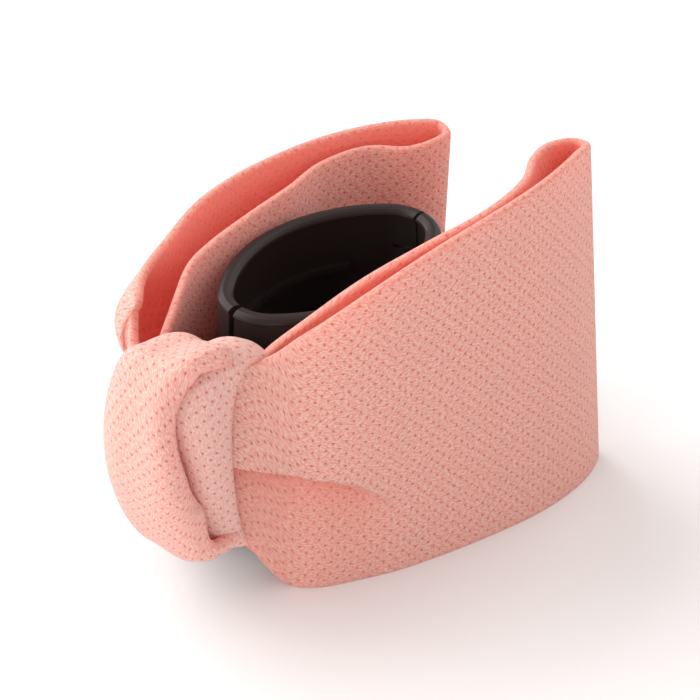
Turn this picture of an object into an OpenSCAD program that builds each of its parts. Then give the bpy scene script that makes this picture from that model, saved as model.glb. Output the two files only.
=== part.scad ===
// Knotted fabric bow on a small spring hair claw.
// Millimetres, +Z up. The bow stands on the bottom edges of its two loops.
// Origin: under the middle of the bow, on the surface it stands on. Knot to -Y, loop ends to +Y.

/* [Bow] */
// Length of the bow from the front of the knot to the loop ends
bow_len = 89; // [74:0.5:107]
// Width of the bow across both loops
bow_w = 45.4; // [40:0.2:55]
// Height of the right loop (the width of the tape)
right_h = 60.5; // [50:0.5:70]
// Height of the left loop, which slumps a little
left_h = 55; // [50:0.5:70]
// How much shorter the left loop is than the right one
left_short = 4; // [0:0.5:6]
// Height of both loops where they leave the knot
root_h = 46.5; // [42:0.5:50]
// Thickness of the doubled tape
tape_t = 1.6; // [1.2:0.1:2.6]
// Radius of the open fold at the end of each loop
fold_r = 3; // [2.2:0.1:3.6]

/* [Knot] */
// Height of the knot
knot_h = 41; // [34:0.5:46]
// Depth of the knot, front to back
knot_d = 12.7; // [11:0.1:15]
// Width of the wrap and the tongue together
knot_w = 21.8; // [18:0.2:26]
// Share of the knot's width that the main wrap takes
wrap_share = 0.73; // [0.6:0.01:0.8]
// Thickness of the wrap
wrap_t = 2.4; // [1.6:0.1:3]
// Height of the knot's underside
knot_z = 9; // [6:0.5:10]

/* [Claw] */
// Width of the closed claw
claw_w = 27.6; // [23:0.2:30]
// Length of the closed claw
claw_l = 42.4; // [38:0.2:46]
// Height of the claw
claw_h = 40; // [34:0.5:42]
// Height of the claw's underside
claw_z = 9; // [6:0.5:12]
// Thickness of the jaw wall
wall_t = 2; // [1.4:0.1:2.6]
// Radius of the claw's two ends
end_r = 9; // [7:0.1:11]
// Height of one comb finger
finger_h = 4; // [3:0.1:4.4]
// Height of the plain band at the rim, where the two jaws meet end to end
rim_h = 7; // [6:0.5:7.5]
// How deep a gripping rib stands out of the wall
rib_d = 1.2; // [0.6:0.1:1.6]

/* [Hinge] */
// Radius of the hinge pin
pin_r = 1; // [0.7:0.05:1.4]
// Running clearance between the pin and each knuckle
pin_gap = 0.05; // [0.02:0.01:0.1]
// Outer radius of a knuckle
knuckle_r = 2.6; // [2.2:0.1:3]
// Height of one knuckle
knuckle_h = 4; // [3:0.1:4.4]
// Diameter of the spring wire
wire_d = 0.9; // [0.6:0.05:1.1]
// How far a thumb tab reaches from the hinge pin
tab_l = 8.4; // [7.4:0.1:9]

/* [Hidden] */
$fn = 48;
bow_y = bow_len / 2;
claw_y = -0.6;
// The sides of the claw are one large arc each, tangent to the two end arcs.
end_c = claw_l / 2 - end_r;
half_w = claw_w / 2;
side_r = (end_c * end_c + half_w * half_w - end_r * end_r) / (2 * (half_w - end_r));
side_c = side_r - half_w;
side_a = atan2(end_c, side_c);
hinge_y = claw_y - claw_l / 2 + 0.8;
claw_top = claw_z + claw_h;
// Each jaw's wall stops clear of the knuckles at the front and becomes fingers at the back.
front_stop = knuckle_r + 0.6;
comb_x = 4.2;
comb_past = 3.5;
rim_gap = 0.6;
finger_step = finger_h + 1;
// Hinge stack from the bottom: left, right, spring, left, right.
stack_z = claw_z + 3;
band = knuckle_h + 0.3;
coil_z = stack_z + 2 * band + 0.2;
coil_h = 6.8;
upper_z = coil_z + coil_h + 0.5;
eye_t = 3;
eye_low = claw_z - 0.8;
eye_high = upper_z + 2 * band + 0.1;
pin_top = eye_high + eye_t + 0.8;
rim_z = max(claw_top - rim_h, pin_top + 0.5);
knot_back = -bow_y + knot_d;
felt_t = 0.8;
plate_t = 1;
wrap_w = knot_w * wrap_share;
// Loop centreline: outer leg, end fold and inner leg.
loop_y0 = hinge_y + 2.5;
loop_x = bow_w / 2 - tape_t / 2;
gather_y = hinge_y - 2.6;
out_a = [loop_x - 8.7, loop_y0];
out_b = [loop_x - 0.6, loop_y0 + 11.5];
out_c = [loop_x + 2, loop_y0 + 40.5];
out_d = [loop_x - 2, bow_y - tape_t / 2 - fold_r + 0.7];
turn = 13.6;
fold_c = out_d - fold_r * [cos(turn), sin(turn)];
in_a = fold_c + fold_r * [cos(225), sin(225)];
in_c = [half_w + 4.6, -2];
// The inner leg ends beside the claw, clear of its outline by leg_gap.
leg_gap = 1.38;
in_d = [max(half_w - 3.4, claw_x(loop_y0 + 1.5) + tape_t / 2 + leg_gap), loop_y0 + 1.5];

function bez(a, b, c, d, t) = a * pow(1 - t, 3) + b * 3 * t * pow(1 - t, 2) + c * 3 * t * t * (1 - t) + d * pow(t, 3);
function unit(v) = v / norm(v);
// Half width of the claw's outline, away from its middle.
function claw_x(y) = abs(y - claw_y) < side_r * sin(side_a)
    ? sqrt(side_r * side_r - pow(y - claw_y, 2)) - side_c
    : sqrt(end_r * end_r - pow(abs(y - claw_y) - end_c, 2));
function side_of(p, i) = let(v = unit(p[min(i + 1, len(p) - 1)] - p[max(i - 1, 0)])) [v[1], -v[0]];
function shifted(p, d) = [for (i = [0 : len(p) - 1]) p[i] + d * side_of(p, i)];
function flipped(p) = [for (i = [len(p) - 1 : -1 : 0]) p[i]];

// back is how far the end fold is drawn back toward the knot.
function outer_leg(back) = [for (i = [0 : 15]) bez(out_a, out_b, out_c - [0, back], out_d - [0, back], i / 16)];
function fold_at(a, back) = fold_c - [0, back] + fold_r * [cos(a), sin(a)];
function end_fold(back) = [for (i = [0 : 9]) fold_at(turn + (225 - turn) * i / 10, back)];
function inner_leg(back) = [for (i = [0 : 14]) bez(in_a - [0, back], in_a + [6.4, -10.3 - back], in_c, in_d, i / 14)];
function loop_line(back) = concat(outer_leg(back), end_fold(back), inner_leg(back));

// Outside of the jaw wall as heights and insets, with a rolled lip at the top.
function wall_out() = [for (i = [0 : 10]) [-1.1 * pow(abs(i / 10 - 0.56) / 0.56, 2.6), claw_z + 0.4 + (claw_h - 1.6) * i / 10]];
function wall_in() = [for (i = [0 : 10]) [-wall_t - 0.9 * pow(abs(i / 10 - 0.56) / 0.56, 2.6), claw_z + 0.4 + (claw_h - 1.6) * i / 10]];
function lip() = [for (i = [0 : 7]) [-1.65 + 1.35 * cos(i * 180 / 7), claw_top - 0.9 + 0.9 * sin(i * 180 / 7)]];

module wall_profile(r) {
    translate([r, 0])
        polygon(concat(wall_out(), lip(), flipped(wall_in())));
}

module along_x(w) {
    rotate([90, 0, 90])
        linear_extrude(height = w)
            children();
}

// One jaw on the +X side. phase 0 takes the lowest knuckle and the lowest finger.
module jaw(phase) {
    low = stack_z + phase * band;
    high = upper_z + phase * band;
    difference() {
        union() {
            translate([-side_c, claw_y, 0])
                rotate([0, 0, -side_a])
                    rotate_extrude(angle = 2 * side_a)
                        wall_profile(side_r);
            translate([0, claw_y + end_c, 0])
                rotate([0, 0, side_a])
                    rotate_extrude(angle = acos(-comb_past / end_r) - side_a)
                        wall_profile(end_r);
            difference() {
                translate([0, claw_y - end_c, 0])
                    rotate([0, 0, -acos(rim_gap / end_r)])
                        rotate_extrude(angle = acos(rim_gap / end_r) - side_a)
                            wall_profile(end_r);
                translate([-1, claw_y - claw_l / 2 - 1, 0])
                    cube([front_stop + 1, end_r, rim_z]);
            }
            for (z = [claw_z + 10 : 9.5 : claw_top - 8])
                translate([-side_c, claw_y, z])
                    rotate([0, 0, -side_a + 14])
                        rotate_extrude(angle = 2 * side_a - 28)
                            translate([side_r - wall_t - rib_d, 0])
                                square([rib_d + 0.4, 1.1]);
            for (z = [low, high]) {
                translate([0, hinge_y, z])
                    cylinder(r = knuckle_r, h = knuckle_h);
                translate([0, hinge_y - 1, z])
                    cube([front_stop + 1.2, 2, knuckle_h]);
            }
            translate([front_stop - 0.1, hinge_y - 0.4, stack_z + 2])
                rotate([0, 0, -36])
                    translate([0, -0.8, 0])
                        cube([tab_l - front_stop + 0.1, 1.6, 22]);
        }
        // the comb: below the rim this jaw keeps every second band past comb_x
        intersection() {
            for (i = [0 : 7])
                translate([-comb_past - 3, claw_y + end_c, claw_z - 1 + (2 * i + phase) * finger_step - finger_step])
                    cube([comb_past + 3 + comb_x, end_r + 3, 2 * finger_step - finger_h]);
            translate([-comb_past - 4, claw_y, 0])
                cube([20, claw_l, rim_z]);
        }
        // a slot under the rim, and the rim cut square just short of the other jaw
        translate([-comb_past - 3, claw_y + end_c, rim_z - 0.8])
            cube([comb_past + 3 + comb_x, end_r + 3, 0.8]);
        translate([-comb_past - 3, claw_y + end_c, rim_z - 0.1])
            cube([comb_past + 3 + rim_gap / 2, end_r + 3, claw_top - rim_z + 1]);
        for (z = [low, high])
            translate([0, hinge_y, z - 0.5])
                cylinder(r = pin_r + pin_gap, h = knuckle_h + 1);
    }
}

// One loop on the +X side, cut to its fan shape in side view.
module loop(top, back) {
    line = loop_line(back);
    intersection() {
        linear_extrude(height = top + 2)
            polygon(concat(shifted(line, tape_t / 2), flipped(shifted(line, -tape_t / 2))));
        along_x(bow_w)
            polygon([
                [loop_y0 - 2, 0],
                [loop_y0 - 2, root_h],
                [loop_y0 + 8, root_h + 0.5 * (top - root_h)],
                [loop_y0 + 18, root_h + 0.8 * (top - root_h)],
                [loop_y0 + 30, top - 0.5],
                [loop_y0 + 42, top],
                [loop_y0 + 54, top - 0.8],
                [bow_y + 2, top - 3],
                [bow_y + 2, 0]
            ]);
    }
}

// The tape on its way from the knot to a loop, on the +X side.
module gather(top) {
    half = knot_w / 2;
    out_x = out_a[0] + 3.4;
    intersection() {
        linear_extrude(height = top)
            polygon([
                [half + 0.1, -bow_y + 3],
                [half + 2.6, -bow_y + 4.5],
                [out_x - 0.8, -bow_y + 10.5],
                [out_x - 0.2, -bow_y + 16.5],
                [out_x, gather_y],
                [out_x - 5.2, gather_y],
                [half + 0.1, -bow_y + 16.5],
                [half + 0.1, -bow_y + 9.9]
            ]);
        translate([half, 0, 0])
            along_x(12)
                polygon([
                    [-bow_y + 2, knot_z + 5],
                    [-bow_y + 2, knot_z + knot_h - 5],
                    [-bow_y + 10, root_h - 0.5],
                    [gather_y + 1, root_h],
                    [gather_y + 1, 1],
                    [-bow_y + 10, knot_z + 3]
                ]);
    }
}

// Glue between the side of a jaw and the loop's inner leg, on the +X side.
module glue_pad(back) {
    $fn = 200;
    leg = shifted(inner_leg(back), tape_t / 2);
    difference() {
        translate([-side_c, claw_y, claw_z + 10])
            rotate([0, 0, -13])
                rotate_extrude(angle = 22)
                    translate([side_r, 0])
                        square([4, 21]);
        translate([0, 0, claw_z])
            linear_extrude(height = claw_h)
                polygon(concat(leg, [[60, leg[14][1]], [60, leg[0][1]]]));
    }
}

// Free end of the spring on the +X side, pushed into the jaw.
module spring_leg(z) {
    translate([2.1, hinge_y + 2.1, z])
        rotate([0, 90, 0])
            cylinder(d = wire_d, h = 4.6);
}

module stadium(d, h) {
    translate([0, -h / 2 + d / 2])
        circle(d = d);
    translate([0, h / 2 - d / 2])
        circle(d = d);
    translate([-d / 2, -h / 2 + d / 2])
        square([d, h - d]);
}

module band_round_waist(x0, w, shrink) {
    translate([x0, -bow_y + knot_d / 2, knot_z + knot_h / 2])
        along_x(w)
            difference() {
                stadium(knot_d - 2 * shrink, knot_h - 2 * shrink);
                stadium(knot_d - 2 * wrap_t, knot_h - 2 * wrap_t);
            }
}

module hinge_pin() {
    color("silver") {
        translate([0, hinge_y, eye_low - 0.8])
            cylinder(r = pin_r, h = eye_high + eye_t + 1.6 - eye_low);
        translate([0, hinge_y, eye_low - 0.8])
            cylinder(r = pin_r + 0.7, h = 0.8);
        translate([0, hinge_y, eye_high + eye_t])
            cylinder(r = pin_r + 0.7, h = 0.8);
    }
}

module spring_coil() {
    turns = floor((coil_h - 2 * wire_d) / (0.9 * wire_d));
    color("dimgray")
        for (i = [0 : turns])
            translate([0, hinge_y, coil_z + wire_d + i * 0.9 * wire_d])
                rotate_extrude()
                    translate([pin_r + pin_gap + wire_d / 2, 0])
                        circle(d = wire_d);
}

module hinge_bracket() {
    color("black")
        difference() {
            union() {
                translate([-4, knot_back + felt_t, eye_low])
                    cube([8, plate_t, eye_high + eye_t - eye_low]);
                for (z = [eye_low, eye_high]) {
                    translate([-2, knot_back + felt_t, z])
                        cube([4, hinge_y - knot_back - felt_t, eye_t]);
                    translate([0, hinge_y, z])
                        cylinder(r = knuckle_r - 0.2, h = eye_t);
                }
            }
            translate([0, hinge_y, 0])
                cylinder(r = pin_r, h = claw_top + 5);
        }
}

module felt_pad() {
    color("dimgray")
        translate([-7, knot_back, knot_z + 7])
            cube([14, felt_t, knot_h - 14]);
}

module knot_waist() {
    color("salmon")
        translate([-knot_w / 2, -bow_y + knot_d / 2, knot_z + knot_h / 2])
            along_x(knot_w)
                stadium(knot_d - 2 * wrap_t - 0.1, knot_h - 2 * wrap_t - 0.1);
}

module knot_wrap() {
    color("lightsalmon")
        band_round_waist(-knot_w / 2, wrap_w, 0);
}

module knot_tongue() {
    color("salmon")
        band_round_waist(-knot_w / 2 + wrap_w + 0.2, knot_w - wrap_w - 0.2, 0.7);
}

module knot_stitches() {
    color("indianred") {
        translate([-knot_w / 2 + 2, knot_back + 0.26, knot_z + 10])
            cylinder(r = 0.25, h = 21);
        for (i = [0 : 6])
            translate([-knot_w / 2 + 1, knot_back + 0.26, knot_z + 11 + i * 3.1])
                rotate([0, 90, 0])
                    cylinder(r = 0.25, h = 2);
    }
}

module left_gather() {
    color("salmon")
        mirror([1, 0, 0])
            gather(root_h);
}

module right_gather() {
    color("salmon")
        gather(root_h);
}

module left_jaw() {
    color("black")
        mirror([1, 0, 0])
            jaw(0);
}

module right_jaw() {
    color("black")
        jaw(1);
}

module left_spring_leg() {
    color("dimgray")
        mirror([1, 0, 0])
            spring_leg(coil_z + 2);
}

module right_spring_leg() {
    color("dimgray")
        spring_leg(coil_z + coil_h - 2);
}

module left_glue_pad() {
    color("ivory")
        mirror([1, 0, 0])
            glue_pad(left_short);
}

module right_glue_pad() {
    color("ivory")
        glue_pad(0);
}

module left_loop() {
    color("lightsalmon")
        mirror([1, 0, 0])
            loop(left_h, left_short);
}

module right_loop() {
    color("lightsalmon")
        loop(right_h, 0);
}

hinge_pin();
spring_coil();
hinge_bracket();
felt_pad();
knot_waist();
knot_wrap();
knot_tongue();
knot_stitches();
left_gather();
right_gather();
left_jaw();
left_spring_leg();
left_glue_pad();
left_loop();
right_jaw();
right_spring_leg();
right_glue_pad();
right_loop();
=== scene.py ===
import logging
import math
from collections.abc import Callable
from dataclasses import dataclass, field
from enum import Enum

import bmesh
import bpy
import numpy as np
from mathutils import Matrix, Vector


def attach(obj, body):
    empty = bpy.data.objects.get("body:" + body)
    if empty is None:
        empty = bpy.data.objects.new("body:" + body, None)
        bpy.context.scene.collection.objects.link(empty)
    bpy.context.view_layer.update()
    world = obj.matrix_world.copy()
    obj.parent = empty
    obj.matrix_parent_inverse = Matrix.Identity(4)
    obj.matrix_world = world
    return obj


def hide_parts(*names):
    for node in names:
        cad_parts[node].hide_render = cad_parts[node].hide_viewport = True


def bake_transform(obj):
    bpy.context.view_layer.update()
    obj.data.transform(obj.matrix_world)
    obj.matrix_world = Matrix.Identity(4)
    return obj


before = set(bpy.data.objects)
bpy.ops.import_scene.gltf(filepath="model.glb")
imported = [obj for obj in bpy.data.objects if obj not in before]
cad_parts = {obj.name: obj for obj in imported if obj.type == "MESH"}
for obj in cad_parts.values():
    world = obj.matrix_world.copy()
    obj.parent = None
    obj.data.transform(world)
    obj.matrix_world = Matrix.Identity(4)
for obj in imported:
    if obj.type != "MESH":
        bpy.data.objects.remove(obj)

logging.basicConfig(level=logging.INFO, format="%(name)s: %(message)s")
LOG = logging.getLogger("bow_claw")

MM = 0.001
TAPE_THICK = 1.5  # the doubled tape, mm
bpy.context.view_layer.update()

Value = float | bpy.types.NodeSocket


class Side(Enum):
    """Which way a strip's visible face looks, seen along its path with +Z up."""

    RIGHT_HAND = 1.0
    LEFT_HAND = -1.0


class Body(Enum):
    """The bodies that the joints move."""

    CORE = "bow_core"
    LEFT = "left_side"
    RIGHT = "right_side"


def linear(hex_colour: str) -> tuple[float, float, float, float]:
    """Turns an sRGB hex colour into linear light.

    Args:
        hex_colour: Six hex digits, with or without a leading hash.

    Returns:
        Linear red, green and blue, and an opacity of 1.
    """
    digits = hex_colour.lstrip("#")
    parts = [int(digits[i : i + 2], 16) / 255 for i in (0, 2, 4)]
    r, g, b = [p / 12.92 if p <= 0.04045 else ((p + 0.055) / 1.055) ** 2.4 for p in parts]
    return r, g, b, 1.0


class Nodes:
    """A small hand for building a material's nodes."""

    def __init__(self, name: str) -> None:
        """Starts a material with nothing but its output.

        Args:
            name: The material's name.
        """
        self.material = bpy.data.materials.new(name)
        self.material.use_nodes = True
        self.tree = self.material.node_tree
        self.tree.nodes.clear()
        self.output = self.add("ShaderNodeOutputMaterial")

    def add(self, kind: str, inputs: dict | None = None, **settings: object) -> bpy.types.Node:
        """Adds one node.

        Args:
            kind: The node's type name.
            inputs: Socket name or index to a value, or to a socket to link from.
            settings: Attributes of the node itself.

        Returns:
            The new node.
        """
        node = self.tree.nodes.new(kind)
        for key, value in settings.items():
            setattr(node, key, value)
        for key, value in (inputs or {}).items():
            if isinstance(value, bpy.types.NodeSocket):
                self.tree.links.new(value, node.inputs[key])
            else:
                node.inputs[key].default_value = value
        return node

    def maths(self, operation: str, a: Value, b: Value = 0.0) -> bpy.types.NodeSocket:
        """One Math node, and its result."""
        return self.add("ShaderNodeMath", {0: a, 1: b}, operation=operation).outputs[0]

    def mix_colour(self, share: Value, a: object, b: object) -> bpy.types.NodeSocket:
        """Mixes two colours, each a linear colour or a socket."""
        return self.add("ShaderNodeMix", {0: share, 6: a, 7: b}, data_type="RGBA").outputs[2]

    def fade(self, value: Value, low: float, high: float) -> bpy.types.NodeSocket:
        """A smooth 0 to 1 as the value goes from low to high."""
        inputs = {"Value": value, "From Min": low, "From Max": high}
        return self.add("ShaderNodeMapRange", inputs, interpolation_type="SMOOTHSTEP").outputs["Result"]

    def finish(self, shader: bpy.types.NodeSocket) -> bpy.types.Material:
        """Links the surface and returns the material."""
        self.tree.links.new(shader, self.output.inputs["Surface"])
        return self.material


@dataclass(frozen=True)
class PlainFinish:
    """A finish with no pattern beyond a faint unevenness of its gloss.

    Attributes:
        name: What the material is.
        colour: sRGB hex.
        roughness: Mean roughness.
        metallic: 1 for bare metal.
        specular: Strength of the plain reflection.
        sheen: Weight of the fuzz.
        grain_mm: Size of the unevenness.
        bump: Strength of the relief.
    """

    name: str
    colour: str
    roughness: float
    metallic: float = 0.0
    specular: float = 0.5
    sheen: float = 0.0
    grain_mm: float = 4.0
    bump: float = 0.0

    def build(self) -> bpy.types.Material:
        """Makes the material.

        Returns:
            The material.
        """
        n = Nodes(self.name)
        place = n.add("ShaderNodeTexCoord").outputs["Object"]
        # a noise of this scale has a feature about every grain_mm
        noise = n.add("ShaderNodeTexNoise", {"Vector": place, "Scale": 1000 / self.grain_mm, "Detail": 3.0})
        rough = n.add(
            "ShaderNodeMapRange",
            {
                "Value": noise.outputs["Fac"],
                "To Min": self.roughness * 0.85,
                "To Max": min(1.0, self.roughness * 1.2),
            },
        )
        bsdf = n.add(
            "ShaderNodeBsdfPrincipled",
            {
                "Base Color": linear(self.colour),
                "Metallic": self.metallic,
                "Specular IOR Level": self.specular,
                "Sheen Weight": self.sheen,
                "Roughness": rough.outputs["Result"],
            },
        )
        if self.bump:
            inputs = {"Strength": self.bump, "Distance": 0.0003, "Height": noise.outputs["Fac"]}
            bump = n.add("ShaderNodeBump", inputs)
            n.tree.links.new(bump.outputs["Normal"], bsdf.inputs["Normal"])
        return n.finish(bsdf.outputs["BSDF"])


@dataclass(frozen=True)
class PittedKnit:
    """Salmon polyester knit with a staggered grid of small pits.

    The knitting sinks a stitch at every crossing of the grid; painted shade makes rows of small
    dark dots there, the fibre ends give a soft bloom, and light that goes through two or three
    layers gives a red glow, which painted red light and shade deepen in loops and folds.

    Attributes:
        name: What the material is.
        ground: sRGB hex of the face.
        pit: sRGB hex of the painted shade at the bottom of a pit.
        fleck: sRGB hex of the paler yarns.
        shade: sRGB hex of the painted shade between the strands and round each pit.
        painted_glow_shade: sRGB hex of the painted red light and shade on the side that looks into a loop
            and in sunk cloth.
        painted_light_tone: sRGB hex of the painted light that makes the knot's cloth paler.
        glow: sRGB hex of light that has gone through one skin.
        thin: Share of light that goes through.
        along_mm: Distance between pits along the tape.
        across_mm: Distance between pits across the tape.
        yarn_mm: Width of one yarn.
    """

    name: str = "pitted_polyester_knit"
    ground: str = "#ffd0c4"
    pit: str = "#c94e4a"
    fleck: str = "#fbdcc6"
    shade: str = "#f48e84"
    painted_glow_shade: str = "#ff9684"
    painted_light_tone: str = "#ffeee9"
    glow: str = "#ff8474"
    thin: float = 0.24
    along_mm: float = 2.3
    across_mm: float = 2.39
    yarn_mm: float = 0.27

    def build(self) -> bpy.types.Material:
        """Makes the material.

        It reads two UV maps: tape_mm holds millimetres, and skin holds how much painted red light and
        shade a spot gets where it looks into a loop or a fold, and how much painted light makes it paler.

        Returns:
            The material.
        """
        n = Nodes(self.name)
        uv = n.add("ShaderNodeSeparateXYZ", {0: n.add("ShaderNodeUVMap", uv_map="tape_mm").outputs["UV"]})
        # a little wander, in swells about 6 mm apart, so that no row is a ruled line
        place = n.add("ShaderNodeTexCoord").outputs["Object"]
        wander = n.add("ShaderNodeTexNoise", {"Vector": place, "Scale": 160.0, "Detail": 2.0}).outputs["Fac"]
        shift = n.maths("MULTIPLY", n.maths("SUBTRACT", wander, 0.5), 0.14)
        u = n.maths("DIVIDE", uv.outputs["X"], self.along_mm)
        v = n.maths("DIVIDE", uv.outputs["Y"], self.across_mm)
        a = n.maths("ADD", n.maths("ADD", u, v), shift)
        b = n.maths("SUBTRACT", n.maths("SUBTRACT", u, v), shift)
        fa = n.maths("SUBTRACT", n.maths("FRACT", a), 0.5)
        fb = n.maths("SUBTRACT", n.maths("FRACT", b), 0.5)
        far = n.maths("SQRT", n.maths("ADD", n.maths("MULTIPLY", fa, fa), n.maths("MULTIPLY", fb, fb)))
        pit = n.fade(far, 0.17, 0.05)
        # yarn: short slanting strands about twice as long as they are wide, with painted shade between them
        strand = n.add(
            "ShaderNodeMapping",
            {
                "Vector": n.add("ShaderNodeCombineXYZ", {0: uv.outputs["X"], 1: uv.outputs["Y"]}).outputs[0],
                "Rotation": (0.0, 0.0, math.radians(32)),
                "Scale": (0.45 / self.yarn_mm, 1.0 / self.yarn_mm, 1.0),
            },
        ).outputs[0]
        noise = n.add("ShaderNodeTexNoise", {"Vector": strand, "Scale": 1.0, "Detail": 1.5}).outputs["Fac"]
        yarn = n.fade(noise, 0.43, 0.57)
        # fibre ends about 0.4 mm apart, which is coarser than they are, so that they show
        fuzz = n.add("ShaderNodeTexNoise", {"Vector": place, "Scale": 2600.0, "Detail": 3.0}).outputs["Fac"]
        # a soft hollow most of a grid cell wide draws down to each pit, with painted shade that deepens
        # towards it
        hollow = n.fade(far, 0.40, 0.0)
        tone = n.mix_colour(fuzz, linear(self.ground), linear(self.fleck))
        tone = n.mix_colour(n.maths("MULTIPLY", yarn, 0.7), tone, linear(self.shade))
        tone = n.mix_colour(n.maths("MULTIPLY", hollow, 0.3), tone, linear(self.shade))
        # painted red light and shade: in a loop or a fold the cloth passes its own red light to and fro, and
        # that red is painted in here
        skin = n.add("ShaderNodeSeparateXYZ", {0: n.add("ShaderNodeUVMap", uv_map="skin").outputs["UV"]})
        tone = n.mix_colour(n.maths("MULTIPLY", skin.outputs["X"], 0.7), tone, linear(self.painted_glow_shade))
        # painted light: the knot's strips are painted paler, as strong light makes them look
        tone = n.mix_colour(skin.outputs["Y"], tone, linear(self.painted_light_tone))
        # painted shade at the bottom of each pit, weaker where painted red light and shade are already laid
        # in
        dark = n.maths("SUBTRACT", 0.72, n.maths("MULTIPLY", skin.outputs["X"], 0.5))
        tone = n.mix_colour(n.maths("MULTIPLY", pit, dark), tone, linear(self.pit))
        height = n.maths("SUBTRACT", n.maths("MULTIPLY", yarn, -0.45), n.maths("MULTIPLY", pit, 0.6))
        height = n.maths("SUBTRACT", height, n.maths("MULTIPLY", hollow, 0.5))
        height = n.maths("ADD", height, n.maths("MULTIPLY", fuzz, 0.4))
        bump = n.add("ShaderNodeBump", {"Strength": 0.5, "Distance": 0.0003, "Height": height})
        bsdf = n.add(
            "ShaderNodeBsdfPrincipled",
            {
                "Base Color": tone,
                "Roughness": 0.88,
                "Sheen Weight": 0.45,
                "Sheen Roughness": 0.45,
                "Sheen Tint": linear("#ffe3dd"),
                "Subsurface Weight": 0.15,
                "Subsurface Radius": (1.0, 0.28, 0.2),
                "Subsurface Scale": 0.0015,
                "Normal": bump.outputs["Normal"],
            },
        )
        # some light goes right through the cloth and comes out red
        through = n.add("ShaderNodeBsdfTranslucent", {"Color": linear(self.glow)})
        lit, passed = bsdf.outputs["BSDF"], through.outputs["BSDF"]
        both = n.add("ShaderNodeMixShader", {0: self.thin, 1: lit, 2: passed})
        return n.finish(both.outputs["Shader"])


def smooth_rows(rows: list[tuple[float, ...]], count: int) -> np.ndarray:
    """Runs a smooth line through rows of numbers.

    Args:
        rows: Control rows, all of one length.
        count: How many rows to return.

    Returns:
        An array of count rows, evenly spaced along the line's first three columns.
    """
    p = np.array(rows, float)
    p = np.vstack([2 * p[0] - p[1], p, 2 * p[-1] - p[-2]])
    knots = np.concatenate([[0], np.cumsum(np.linalg.norm(np.diff(p[:, :3], axis=0), axis=1) ** 0.5)])
    fine = []
    for i in range(1, len(p) - 2):
        t0, t1, t2, t3 = knots[i - 1 : i + 3]
        for t in np.linspace(t1, t2, 24, endpoint=False):
            a1 = (t1 - t) / (t1 - t0) * p[i - 1] + (t - t0) / (t1 - t0) * p[i]
            a2 = (t2 - t) / (t2 - t1) * p[i] + (t - t1) / (t2 - t1) * p[i + 1]
            a3 = (t3 - t) / (t3 - t2) * p[i + 1] + (t - t2) / (t3 - t2) * p[i + 2]
            b1 = (t2 - t) / (t2 - t0) * a1 + (t - t0) / (t2 - t0) * a2
            b2 = (t3 - t) / (t3 - t1) * a2 + (t - t1) / (t3 - t1) * a3
            fine.append((t2 - t) / (t2 - t1) * b1 + (t - t1) / (t2 - t1) * b2)
    fine.append(p[-2])
    line = np.array(fine)
    step = np.concatenate([[0], np.cumsum(np.linalg.norm(np.diff(line[:, :3], axis=0), axis=1))])
    want = np.linspace(0, step[-1], count)
    return np.stack([np.interp(want, step, line[:, k]) for k in range(line.shape[1])], 1)


@dataclass(frozen=True)
class Station:
    """One cross line of a strip, in millimetres.

    Attributes:
        low: The visible face's lower or left edge.
        high: Its upper or right edge.
        belly: How far the face swells outward halfway between them.
    """

    low: tuple[float, float, float]
    high: tuple[float, float, float]
    belly: float = 0.0

    def row(self) -> tuple[float, ...]:
        """Middle, low, high and belly as one row."""
        middle = tuple((a + b) / 2 for a, b in zip(self.low, self.high))
        return (*middle, *self.low, *self.high, self.belly)


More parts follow.
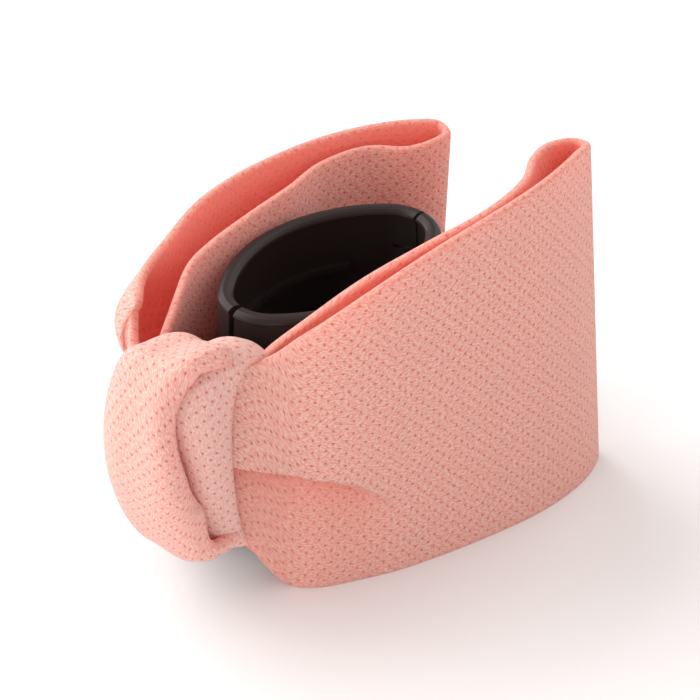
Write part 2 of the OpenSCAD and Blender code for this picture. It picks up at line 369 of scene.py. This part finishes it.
@dataclass
class Strip:
    """A long strip of doubled cloth with rounded folded edges.

    Attributes:
        name: The piece's name.
        stations: Its cross lines, from one end to the other.
        side: Which way the visible face looks.
        thick: Thickness, mm.
        along: Rows of faces along the strip.
        across: Rows of faces across each side.
        edge: Rows of faces round each folded edge.
        relief: Outward move of each face point in mm, from the grid of their places in mm.
        painted_light: How much painted light makes the cloth paler, 0 to 1.
        length_mm: Length along the middle, known once built.
        plain: The face before the relief, which the pattern's rows follow.
        sunk: How deep the relief sinks each face point, 0 to 1, which sets its painted red shade.
    """

    name: str
    stations: list[Station]
    side: Side
    thick: float = TAPE_THICK
    along: int = 200
    across: int = 44
    edge: int = 5
    relief: Callable[[np.ndarray], np.ndarray] | None = None
    painted_light: float = 0.0
    length_mm: float = field(default=0.0, init=False)
    plain: np.ndarray | None = field(default=None, init=False)
    sunk: np.ndarray | None = field(default=None, init=False)

    def surface(self) -> tuple[np.ndarray, np.ndarray]:
        """Lays out the visible face.

        Returns:
            Its grid of points in mm, and their outward normals.
        """
        rows = smooth_rows([s.row() for s in self.stations], self.along)
        low, high, belly = rows[:, 3:6], rows[:, 6:9], rows[:, 9]
        h = np.linspace(0, 1, self.across + 1)
        grid = low[:, None] * (1 - h)[None, :, None] + high[:, None] * h[None, :, None]
        grid = grid + self.normals(grid) * (belly[:, None] * 4 * h * (1 - h))[:, :, None]
        self.plain = grid
        if self.relief:
            move = self.relief(grid)
            # cloth sunk by full_shade_mm or more is lit only by the cloth round it, and gets the full
            # painted red shade
            full_shade_mm = 3.6
            self.sunk = np.clip(-move / full_shade_mm, 0, 1)
            grid = grid + self.normals(grid) * move[:, :, None]
        return grid, self.normals(grid)

    def normals(self, grid: np.ndarray) -> np.ndarray:
        """Works out unit normals on the visible side.

        Args:
            grid: Face points.

        Returns:
            One unit vector for each point.
        """
        du = np.gradient(grid, axis=0)
        dv = np.gradient(grid, axis=1)
        n = np.cross(du, dv) * self.side.value
        return n / np.maximum(np.linalg.norm(n, axis=2, keepdims=True), 1e-9)

    def build(self, material: bpy.types.Material) -> bpy.types.Object:
        """Makes the strip: its visible face, a folded edge, its back and the other edge.

        Args:
            material: The cloth.

        Returns:
            The object, with both UV maps.
        """
        grid, normal = self.surface()
        step = np.concatenate(
            [[0], np.cumsum(np.linalg.norm(np.diff(grid[:, self.across // 2], axis=0), axis=1))]
        )
        self.length_mm = float(step[-1])
        half = self.thick / 2
        mid = grid - normal * half
        dv = np.gradient(grid, axis=1)
        dv /= np.linalg.norm(dv, axis=2, keepdims=True)
        ring, v_at = [], []
        gap = np.linalg.norm(np.diff(self.plain, axis=1), axis=2)
        rise = np.concatenate([np.zeros((len(grid), 1)), np.cumsum(gap, axis=1)], axis=1)
        for j in range(self.across + 1):
            ring.append(mid[:, j] + normal[:, j] * half)
            v_at.append(rise[:, j])
        for k in range(1, self.edge):
            a = math.pi * k / self.edge
            ring.append(mid[:, -1] + normal[:, -1] * half * math.cos(a) + dv[:, -1] * half * math.sin(a))
            v_at.append(rise[:, -1] + half * a)
        for j in range(self.across, -1, -1):
            ring.append(mid[:, j] - normal[:, j] * half)
            v_at.append(rise[:, -1] + half * math.pi + (rise[:, -1] - rise[:, j]))
        for k in range(1, self.edge):
            a = math.pi * k / self.edge
            ring.append(mid[:, 0] - normal[:, 0] * half * math.cos(a) - dv[:, 0] * half * math.sin(a))
            v_at.append(2 * rise[:, -1] + half * (math.pi + a))
        points = np.stack(ring, 1) * MM
        v_map = np.stack(v_at, 1)
        return self.mesh(points, step, v_map, material)

    def mesh(
        self, points: np.ndarray, step: np.ndarray, v_map: np.ndarray, material: bpy.types.Material
    ) -> bpy.types.Object:
        """Joins rings of points into one closed mesh.

        Args:
            points: Rings of points, m.
            step: Distance of each ring along the strip, mm.
            v_map: Distance of each point round its ring, mm.
            material: The cloth.

        Returns:
            The object.
        """
        bm = bmesh.new()
        uv = bm.loops.layers.uv.new("tape_mm")
        skin = bm.loops.layers.uv.new("skin")
        m, n = points.shape[:2]
        # share of painted red light and shade: as deep as it is sunk on the visible face, half on the folded
        # edges, full on the back
        side = np.zeros((m, n + 1))
        side[:, self.across + 1 :] = 0.5
        side[:, self.across + self.edge : 2 * self.across + self.edge + 1] = 1.0
        side[:, -1] = 0.0
        if self.sunk is not None:
            side[:, : self.across + 1] = self.sunk
        verts = [[bm.verts.new(points[i, j]) for j in range(n)] for i in range(m)]
        turn = 2 * v_map[:, -1:] - v_map[:, -2:-1]
        v_full = np.concatenate([v_map, turn], axis=1)
        for i in range(m - 1):
            for j in range(n):
                k = (j + 1) % n
                corners = [(i, j, j), (i + 1, j, j), (i + 1, k, j + 1), (i, k, j + 1)]
                face = bm.faces.new([verts[a][b] for a, b, _ in corners])
                face.smooth = True
                for loop, (a, _, c) in zip(face.loops, corners):
                    loop[uv].uv = (step[a], v_full[a, c])
                    loop[skin].uv = (side[a, c], self.painted_light)
        for i in (0, m - 1):
            cap = bm.faces.new([verts[i][j] for j in range(n)])
            cap.smooth = True
        return closed_object(bm, self.name, material)


def closed_object(bm: bmesh.types.BMesh, name: str, material: bpy.types.Material) -> bpy.types.Object:
    """Turns a closed bmesh with large end faces into an object.

    Args:
        bm: The bmesh, which is freed.
        name: The piece's name.
        material: Its material.

    Returns:
        The object, linked to the scene.
    """
    bmesh.ops.triangulate(bm, faces=[f for f in bm.faces if len(f.verts) > 4])
    bmesh.ops.recalc_face_normals(bm, faces=bm.faces)
    data = bpy.data.meshes.new(name)
    bm.to_mesh(data)
    bm.free()
    data.materials.append(material)
    obj = bpy.data.objects.new(name, data)
    bpy.context.scene.collection.objects.link(obj)
    return obj


def step01(x: np.ndarray) -> np.ndarray:
    """A smooth 0 to 1 step."""
    t = np.clip(x, 0, 1)
    return t * t * (3 - 2 * t)


def on_inner_leg(grid: np.ndarray) -> np.ndarray:
    """Marks the rows past a loop's end fold, as a column of True and False."""
    return np.arange(len(grid))[:, None] / len(grid) > 0.5


def pleat(grid: np.ndarray) -> np.ndarray:
    """Sinks the cloth below the pleat that runs from the knot into the right loop.

    Args:
        grid: Face points, mm.

    Returns:
        Outward move of each point, mm.
    """
    full_deep, full_give = 3.3, 2.7
    lip_y = np.array([-33.0, -30.5, -26.5, -19.3, -14.1, -11.5, -8.1, -5.3])
    lip_z = np.array([30.0, 29.2, 27.2, 24.2, 21.8, 20.1, 17.0, 14.5])
    x, y, z = grid[:, :, 0], grid[:, :, 1], grid[:, :, 2]
    below = np.interp(y, lip_y, lip_z) - z
    under, over = np.clip(below, 0, None), np.clip(-below, 0, None)
    past_lip = step01(below / 0.6)
    # the pleat fades out along the loop, and starts outside the knot
    deep = full_deep * step01((-3.0 - y) / 11) * step01((x - 4) / 4)
    # a long soft hollow with a sharper one right under the lip, which itself stands proud
    sink = past_lip * (0.8 * np.exp(-under / 12) + 0.35 * np.exp(-under / 2.2))
    lip = 0.22 * np.exp(-over / 3) * (1 - past_lip)
    # near the knot the inner leg gives way, so that the sunk cloth doesn't pass through it
    give = full_give * step01((-11.0 - y) / 7) * step01((below + 5) / 5)
    return np.where(on_inner_leg(grid), give, deep * (lip - sink))


def swell(grid: np.ndarray) -> np.ndarray:
    """Swells the left loop's outer leg beside the top of the knot.

    Args:
        grid: Face points, mm.

    Returns:
        Outward move of each point, mm.
    """
    full_out = 5.4
    y, z = grid[:, :, 1], grid[:, :, 2]
    bump = np.exp(-(((y + 25.5) / 6.5) ** 2) - ((z - 41.5) / 8.5) ** 2)
    return full_out * bump * ~on_inner_leg(grid)


@dataclass
class Tape:
    """The two loops, each one unbroken length of tape from the knot to its inner end.

    Attributes:
        cloth: The knit.
        bend_y: Where the bend between knot and loop starts and ends, m. Not used.
    """

    cloth: bpy.types.Material
    bend_y: tuple[float, float] = (-0.031, -0.021)

    def right(self) -> bpy.types.Object:
        """Makes the right loop, with its pleat.

        Returns:
            The object.
        """
        strip = Strip(
            "right_tape",
            [
                Station((5.0, -34.0, 17.0), (4.5, -33.0, 43.5)),
                Station((8.6, -30.6, 14.8), (8.0, -28.6, 45.2), 0.6),
                Station((10.1, -26.6, 10.4), (10.6, -24.2, 45.6), 1.0),
                Station((11.4, -21.0, 1.4), (14.3, -20.4, 49.5), 0.8),
                Station((14.9, -17.0, 0.4), (17.6, -16.0, 53.0), 0.4),
                Station((18.4, -9.8, 0.4), (20.3, -8.6, 56.6), 0.2),
                Station((21.6, 0.8, 0.4), (21.6, 2.4, 59.2)),
                Station((24.0, 12.0, 0.4), (22.0, 13.4, 60.4)),
                Station((25.4, 22.5, 0.4), (21.2, 23.4, 60.6)),
                Station((25.2, 31.0, 0.4), (19.5, 31.0, 60.2)),
                Station((23.6, 37.8, 0.4), (17.2, 37.4, 59.4)),
                Station((20.8, 42.2, 0.4), (14.6, 42.6, 58.4)),
                Station((17.2, 42.6, 0.4), (11.4, 42.0, 58.2)),
                Station((15.6, 38.4, 0.4), (10.0, 37.4, 58.6)),
                Station((17.0, 31.6, 0.4), (12.2, 31.0, 59.6)),
                Station((20.2, 23.6, 0.4), (16.6, 24.2, 60.2)),
                Station((20.6, 13.4, 0.4), (18.6, 14.6, 60.0)),
                Station((18.2, 1.4, 0.4), (17.8, 2.1, 59.0), 2.2),
                Station((15.4, -8.4, 0.4), (14.8, -8.4, 55.6), 1.0),
                Station((11.8, -16.4, 1.2), (10.6, -16.8, 49.6), 0.4),
                Station((9.6, -20.6, 4.0), (8.8, -21.0, 46.8)),
                Station((8.7, -24.4, 9.5), (8.2, -24.4, 45.0)),
                Station((7.2, -28.6, 15.0), (6.6, -28.2, 43.4)),
            ],
            Side.RIGHT_HAND,
            along=220,
            across=104,
            relief=pleat,
        )
        obj = strip.build(self.cloth)
        self.declare(obj, strip, Body.RIGHT, ("right_loop", "right_gather"))
        return obj

    def left(self) -> bpy.types.Object:
        """Makes the left loop, which leans outward and stands a little lower.

        Returns:
            The object.
        """
        strip = Strip(
            "left_tape",
            [
                Station((-5.0, -34.6, 21.0), (-5.0, -33.8, 38.6)),
                Station((-8.8, -33.0, 18.0), (-8.4, -31.4, 41.0), 0.8),
                Station((-11.0, -29.0, 9.5), (-10.6, -27.6, 46.0), 1.2),
                Station((-13.4, -26.2, 5.0), (-13.7, -25.6, 49.0), 1.4),
                Station((-16.0, -22.0, 1.4), (-17.2, -21.4, 50.6), 1.4),
                Station((-19.0, -13.0, 0.4), (-21.4, -12.0, 52.6), 0.8),
                Station((-21.6, -2.0, 0.4), (-23.2, -2.0, 53.4), 0.4),
                Station((-22.8, 8.0, 0.4), (-23.5, 8.0, 53.5)),
                Station((-22.8, 18.0, 0.4), (-22.6, 18.0, 53.4)),
                Station((-21.6, 27.0, 0.4), (-20.4, 27.0, 53.0)),
                Station((-20.0, 34.0, 0.4), (-18.0, 34.0, 52.2)),
                Station((-17.8, 38.8, 0.4), (-15.4, 38.6, 51.2)),
                Station((-15.0, 38.6, 0.4), (-12.2, 38.0, 50.6)),
                Station((-13.8, 34.6, 0.4), (-11.4, 34.0, 50.6)),
                Station((-15.0, 29.0, 0.4), (-12.8, 28.6, 50.6)),
                Station((-17.8, 23.0, 0.4), (-16.8, 23.0, 51.2)),
                Station((-18.6, 15.0, 0.4), (-17.8, 14.6, 51.4)),
                Station((-16.6, 6.0, 0.4), (-16.0, 6.4, 51.4), 1.0),
                Station((-15.6, -3.0, 0.4), (-14.8, -3.0, 51.0), 0.8),
                Station((-13.4, -13.0, 1.4), (-13.0, -13.2, 50.6), 0.6),
                Station((-11.0, -19.6, 4.0), (-11.2, -19.2, 49.8), 0.3),
                Station((-9.4, -24.6, 9.0), (-8.9, -24.2, 46.4)),
                Station((-8.2, -29.0, 13.0), (-7.2, -28.4, 42.6)),
            ],
            Side.LEFT_HAND,
            relief=swell,
        )
        obj = strip.build(self.cloth)
        self.declare(obj, strip, Body.LEFT, ("left_loop", "left_gather"))
        return obj

    def declare(self, obj: bpy.types.Object, strip: Strip, body: Body, nodes: tuple[str, ...]) -> None:
        """Hides the CAD nodes that the tape stands for, bakes its place into its mesh and logs its length.

        Args:
            obj: The loop.
            strip: What it was built from.
            body: The side it belongs to. Not used.
            nodes: The CAD nodes it stands for.
        """
        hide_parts(*nodes)
        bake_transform(obj)
        LOG.info("%s is %.0f mm long", obj.name, strip.length_mm)


@dataclass
class WrapStrip(Strip):
    """The wrap of the knot, drawn round an egg-shaped body.

    A place on the body is an angle in the Y-Z plane, 0 at the front and 90 at the crown, and a
    distance across. The right edge wanders: it starts on the crown, draws back over the front,
    and ends as a rolled fold that overlaps the tongue.

    Attributes:
        half_left: Half width on the left, mm.
        half_right: Half width on the right, mm.
        middle_y: Middle of the body, front to back, mm.
        middle_z: Middle of the body, bottom to top, mm.
        deep: Half depth, mm.
        tall: Half height, mm.
        crown_drop: How much lower the crown is, mm.
        heel_lift: How much higher the underside is, mm.
        crown_slope: Rise of the crown for each mm to the right.
        turns: First and last angle, degrees.
        edge_turns: Angles at which the right edge's reach is given, degrees.
        edge_reach: How far right the edge reaches at each of them, mm.
    """

    half_left: float = 10.9
    half_right: float = 12.0
    middle_y: float = -33.5
    middle_z: float = 30.0
    deep: float = 10.0
    tall: float = 20.3
    crown_drop: float = 2.4
    heel_lift: float = 1.7
    crown_slope: float = 0.5
    turns: tuple[float, float] = (128.0, -112.0)
    edge_turns: tuple[float, ...] = (-112, -84, -27, 8, 25, 36, 47, 60, 74, 92, 108, 128)
    edge_reach: tuple[float, ...] = (11.2, 11.4, 11.1, 10.2, 8.8, 7.8, 7.5, 7.8, 8.5, 9.2, 9.2, 8.4)

    def body(self, turn: np.ndarray, x: np.ndarray) -> np.ndarray:
        """Points of the body, in mm.

        Args:
            turn: Angles, degrees.
            x: Distances across, mm.

        Returns:
            Points with one more axis than the inputs.
        """
        up, under = step01((turn - 50) / 45), step01((-46 - turn) / 40)
        left = (1 - np.clip(-x / self.half_left, 0, 1) ** 2.4) ** 0.4545
        # the right side stays full where the wrap goes under, and over the top
        full = self.half_right + 6.5 * step01((-34 - turn) / 60) + 3.0 * step01((turn - 62) / 30)
        right = (1 - np.clip(x / full, 0, 1) ** 3.0) ** 0.4545
        wide = np.where(x < 0, left, right)
        # below 1 the power squares the outline off
        power = 1 - 0.3 * up - 0.3 * step01((-70 - turn) / 30)
        c, s = np.cos(np.radians(turn)), np.sin(np.radians(turn))
        tall = self.tall - self.crown_drop * up - self.heel_lift * under
        y = self.middle_y - self.deep * wide * np.sign(c) * np.abs(c) ** power
        z = self.middle_z + tall * wide * np.sign(s) * np.abs(s) ** power
        z = z + self.crown_slope * np.clip(x, 0, 7.5) * up
        return np.stack([x + 0 * turn, y, z], -1)

    def surface(self) -> tuple[np.ndarray, np.ndarray]:
        """Lays the wrap on the body and rolls its right edge.

        Returns:
            Its grid of points in mm, and their outward normals.
        """
        turn = np.linspace(*self.turns, self.along)[:, None]
        edge = np.interp(turn, self.edge_turns, self.edge_reach)
        kernel = np.hanning(25) / np.hanning(25).sum()
        edge[12:-12, 0] = np.convolve(edge[:, 0], kernel, "valid")
        first, last = math.radians(-86), np.arcsin(edge / self.half_right)
        h = np.linspace(0, 1, self.across + 1)[None, :]
        swing = first + (last - first) * h
        x = np.where(swing < 0, self.half_left, self.half_right) * np.sin(swing)
        grid = self.body(turn, x)
        self.plain = grid
        # far is each point's distance from the right edge
        gap = np.linalg.norm(np.diff(grid, axis=1), axis=2)
        far = np.concatenate([np.cumsum(gap[:, ::-1], axis=1)[:, ::-1], np.zeros((len(grid), 1))], 1)
        # the edge rolls in, less and more widely on the crown
        crown = step01((turn - 80) / 24)
        roll = -(1.6 - 0.9 * crown) * (1 - np.clip(far / (3.4 + 1.6 * crown), 0, 1)) ** 2.2
        # slack cloth: two faint ridges that follow the fold
        ridge = 0.28 * np.cos(far / 2.9 + turn / 70) * step01((far - 3) / 3) * step01((16 - far) / 5)
        grid = grid + self.normals(grid) * (roll + ridge)[:, :, None]
        return grid, self.normals(grid)


@dataclass
class Knot:
    """The tied middle: a main wrap, the tongue that comes out under it, and the gathered core.

    Attributes:
        cloth: The knit.
        wrap_shows: Gathered width of the wrap that shows, mm.
        tongue_shows: Gathered width of the tongue that shows, mm.
        core_x: Ends of the core, mm.
        core_middle: Its middle in Y and Z, mm.
        core_back: The flat back that lies on the felt, mm.
    """

    cloth: bpy.types.Material
    wrap_shows: float = 23.0
    tongue_shows: float = 10.0
    core_x: tuple[float, float] = (-8.6, 6.0)
    core_middle: tuple[float, float] = (-35.2, 29.5)
    core_back: float = -31.9

    def wrap(self) -> bpy.types.Object:
        """Makes the main wrap, from the crown round the front and under.

        Returns:
            The object.
        """
        strip = WrapStrip(
            # painted light: the wrap is painted a little paler
            "wrap_strip", [], Side.RIGHT_HAND, thick=2.2, along=170, across=64, edge=9, painted_light=0.14
        )
        return self.declare(strip, "knot_wrap", self.wrap_shows)

    def tongue(self) -> bpy.types.Object:
        """Makes the strip that shows between the wrap and the right loop.

        Returns:
            The object.
        """
        strip = Strip(
            "tongue_strip",
            [
                Station((2.0, -24.4, 45.6), (9.6, -22.4, 46.4), 1.4),
                Station((0.8, -27.8, 45.6), (9.3, -24.8, 47.0), 2.4),
                Station((1.2, -31.8, 45.6), (9.5, -27.1, 46.2), 2.6),
                Station((3.0, -35.8, 45.2), (9.9, -29.4, 43.0), 1.9),
                Station((4.4, -38.0, 41.5), (10.3, -30.6, 39.0), 1.9),
                Station((5.6, -38.2, 36.0), (10.5, -31.0, 34.0), 2.0),
                Station((5.8, -37.2, 30.0), (10.4, -30.8, 28.0), 2.2),
                Station((4.8, -36.8, 24.0), (10.3, -30.3, 22.0), 2.0),
                Station((4.0, -35.6, 17.6), (10.2, -29.6, 16.4), 1.4),
                Station((3.6, -33.8, 12.6), (9.8, -28.4, 12.4), 0.8),
            ],
            Side.RIGHT_HAND,
            thick=1.8,
            along=120,
            across=24,
            # painted light: the tongue is painted paler still
            painted_light=0.24,
        )
        return self.declare(strip, "knot_tongue", self.tongue_shows)

    def declare(self, strip: Strip, node: str, shows: float) -> bpy.types.Object:
        """Builds a strip of the knot, hides the CAD node it stands for, hangs it on the core body and logs
        its length.

        Args:
            strip: The strip.
            node: The CAD node it stands for.
            shows: Its gathered width, mm. Not used.

        Returns:
            The object.
        """
        obj = strip.build(self.cloth)
        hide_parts(node)
        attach(obj, Body.CORE.value)
        LOG.info("%s is %.0f mm long", obj.name, strip.length_mm)
        return obj

    def core(self) -> bpy.types.Object:
        """Makes the gathered tape inside the knot, pleated where it leaves on each side.

        Returns:
            The object.
        """
        bm = bmesh.new()
        uv = bm.loops.layers.uv.new("tape_mm")
        skin = bm.loops.layers.uv.new("skin")
        rings, around, pleats = 40, 96, 9
        x_from, x_to = self.core_x
        middle_y, middle_z = self.core_middle
        rows = []
        for i in range(rings + 1):
            t = i / rings
            x = x_from + (x_to - x_from) * t
            swell = (1 - abs(2 * t - 1) ** 3) ** 0.5
            half_y, half_z = 1.2 + 2.0 * swell, 9.0 + 4.0 * swell
            ring = []
            for j in range(around):
                a = 2 * math.pi * j / around
                fold = 1 + 0.06 * math.cos(pleats * a) * (1 - 0.5 * swell)
                y = min(middle_y + half_y * fold * math.cos(a), self.core_back)
                z = middle_z + half_z * fold * math.sin(a)
                ring.append(bm.verts.new((x * MM, y * MM, z * MM)))
            rows.append(ring)
        ring_mm, turn_mm = 0.51, 0.9
        for i in range(rings):
            for j in range(around):
                k = (j + 1) % around
                face = bm.faces.new([rows[i][j], rows[i + 1][j], rows[i + 1][k], rows[i][k]])
                face.smooth = True
                for loop, (a, b) in zip(face.loops, [(i, j), (i + 1, j), (i + 1, j + 1), (i, j + 1)]):
                    loop[uv].uv = (a * ring_mm, b * turn_mm)
                    # half the painted red light and shade over the gathered core
                    loop[skin].uv = (0.5, 0.0)
        for ring in (rows[0], rows[-1]):
            bm.faces.new(ring)
        obj = closed_object(bm, "knot_core", self.cloth)
        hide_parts("knot_waist")
        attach(obj, Body.CORE.value)
        return obj


@dataclass(frozen=True)
class HardParts:
    """Finishes for the pieces that keep their CAD shape."""

    finishes: tuple[tuple[PlainFinish, tuple[str, ...]], ...] = (
        (
            # moulded ABS: a smooth steel tool leaves a soft gloss with a faint swirl from the flow; the
            # near-black is the plastic's own, and its warm red tint is painted reflection of the red cloth
            PlainFinish("moulded_abs_gloss_black", "#2b2322", 0.3, specular=0.18, grain_mm=9.0, bump=0.04),
            ("left_jaw", "right_jaw", "hinge_bracket"),
        ),
        (
            # drawn wire: rolling leaves fine lines that blur the highlight along it
            PlainFinish("drawn_steel_wire", "#5b5c60", 0.32, metallic=1.0, grain_mm=0.6, bump=0.1),
            ("hinge_pin",),
        ),
        (
            PlainFinish("blued_spring_wire", "#2f3036", 0.36, metallic=1.0, grain_mm=0.6, bump=0.1),
            ("spring_coil", "left_spring_leg", "right_spring_leg"),
        ),
        (
            # pressed felt: loose fibre ends scatter light and hide any gloss
            PlainFinish("pressed_felt_black", "#1a1a1c", 0.95, sheen=0.3, grain_mm=0.5, bump=0.8),
            ("felt_pad",),
        ),
        (
            PlainFinish("hot_melt_glue", "#e2dccb", 0.38, grain_mm=2.0, bump=0.3),
            ("left_glue_pad", "right_glue_pad"),
        ),
        (
            PlainFinish("polyester_thread", "#c9736a", 0.7, sheen=0.3, grain_mm=0.3, bump=0.4),
            ("knot_stitches",),
        ),
    )

    def dress(self) -> None:
        """Puts each finish on its CAD nodes."""
        for finish, names in self.finishes:
            material = finish.build()
            LOG.info("%s on %s", finish.name, ", ".join(names))
            for name in names:
                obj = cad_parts[name]
                for slot in obj.material_slots:
                    slot.link = "OBJECT"
                    slot.material = material


@dataclass(frozen=True)
class Studio:
    """A white table-top set: wide floor, broad soft light from the left, and the camera.

    Attributes:
        target_mm: What the camera looks at.
        azimuth: Camera bearing in degrees, 0 looking along +Y.
        elevation: Camera height above the horizon, degrees.
        distance_mm: Camera distance.
        lens_mm: Lens on a 36 mm sensor.
    """

    target_mm: tuple[float, float, float] = (4.21, -0.43, 33.59)
    azimuth: float = 46.99
    elevation: float = 35.45
    distance_mm: float = 430.2
    lens_mm: float = 139.15

    def camera(self) -> None:
        """Sets the camera."""
        a, e = math.radians(self.azimuth), math.radians(self.elevation)
        back = Vector((math.sin(a) * math.cos(e), -math.cos(a) * math.cos(e), math.sin(e)))
        data = bpy.data.cameras.new("camera")
        data.lens = self.lens_mm
        data.sensor_width = 36.0
        data.clip_start, data.clip_end = 0.01, 20.0
        obj = bpy.data.objects.new("camera", data)
        obj.location = (Vector(self.target_mm) + back * self.distance_mm) * MM
        obj.rotation_mode = "QUATERNION"
        obj.rotation_quaternion = (-back).to_track_quat("-Z", "Y")
        bpy.context.scene.collection.objects.link(obj)
        bpy.context.scene.camera = obj

    def floor(self) -> None:
        """A wide matte white floor."""
        n = Nodes("matte_white_board")
        bsdf = n.add("ShaderNodeBsdfPrincipled", {"Base Color": (0.9, 0.9, 0.9, 1), "Roughness": 0.9})
        bm = bmesh.new()
        bmesh.ops.create_grid(bm, x_segments=1, y_segments=1, size=3.0)
        data = bpy.data.meshes.new("floor")
        bm.to_mesh(data)
        bm.free()
        data.materials.append(n.finish(bsdf.outputs["BSDF"]))
        obj = bpy.data.objects.new("floor", data)
        bpy.context.scene.collection.objects.link(obj)

    def light(self, name: str, place: tuple[float, float, float], size: float, watts: float) -> None:
        """Hangs one soft white area light, aimed at the bow.

        Args:
            name: Its name.
            place: Where it stands, m.
            size: Edge of its square, m.
            watts: Its power.
        """
        aim = Vector((0, 0, 0.03))
        data = bpy.data.lights.new(name, "AREA")
        data.size = size
        data.energy = watts
        obj = bpy.data.objects.new(name, data)
        obj.location = place
        obj.rotation_euler = (aim - Vector(place)).to_track_quat("-Z", "Y").to_euler()
        bpy.context.scene.collection.objects.link(obj)

    def world(self) -> None:
        """A pale even surround."""
        world = bpy.data.worlds.new("surround")
        world.use_nodes = True
        background = world.node_tree.nodes["Background"]
        background.inputs["Color"].default_value = linear("#fffaf7")
        background.inputs["Strength"].default_value = 0.58
        bpy.context.scene.world = world

    def build(self) -> None:
        """Sets up the whole studio."""
        self.camera()
        self.floor()
        self.light("window", (-2.0, -0.5, 1.6), 2.8, 74.0)
        self.light("back", (0.0, 2.0, 1.5), 2.4, 16.0)
        self.light("front_left", (-1.0, -2.5, 1.1), 2.8, 44.0)
        self.light("front_right", (2.3, -1.6, 1.0), 2.6, 18.0)
        self.world()
        view = bpy.context.scene.view_settings
        view.view_transform = "Standard"
        view.look = "None"


def main() -> None:
    """Builds the bow around its frame."""
    cloth = PittedKnit().build()
    tape = Tape(cloth)
    knot = Knot(cloth)
    for make in (tape.right, tape.left, knot.core, knot.wrap, knot.tongue):
        piece = make()
        LOG.info("made %s, %d faces", piece.name, len(piece.data.polygons))
    HardParts().dress()
    Studio().build()


if __name__ == "__main__":
    main()
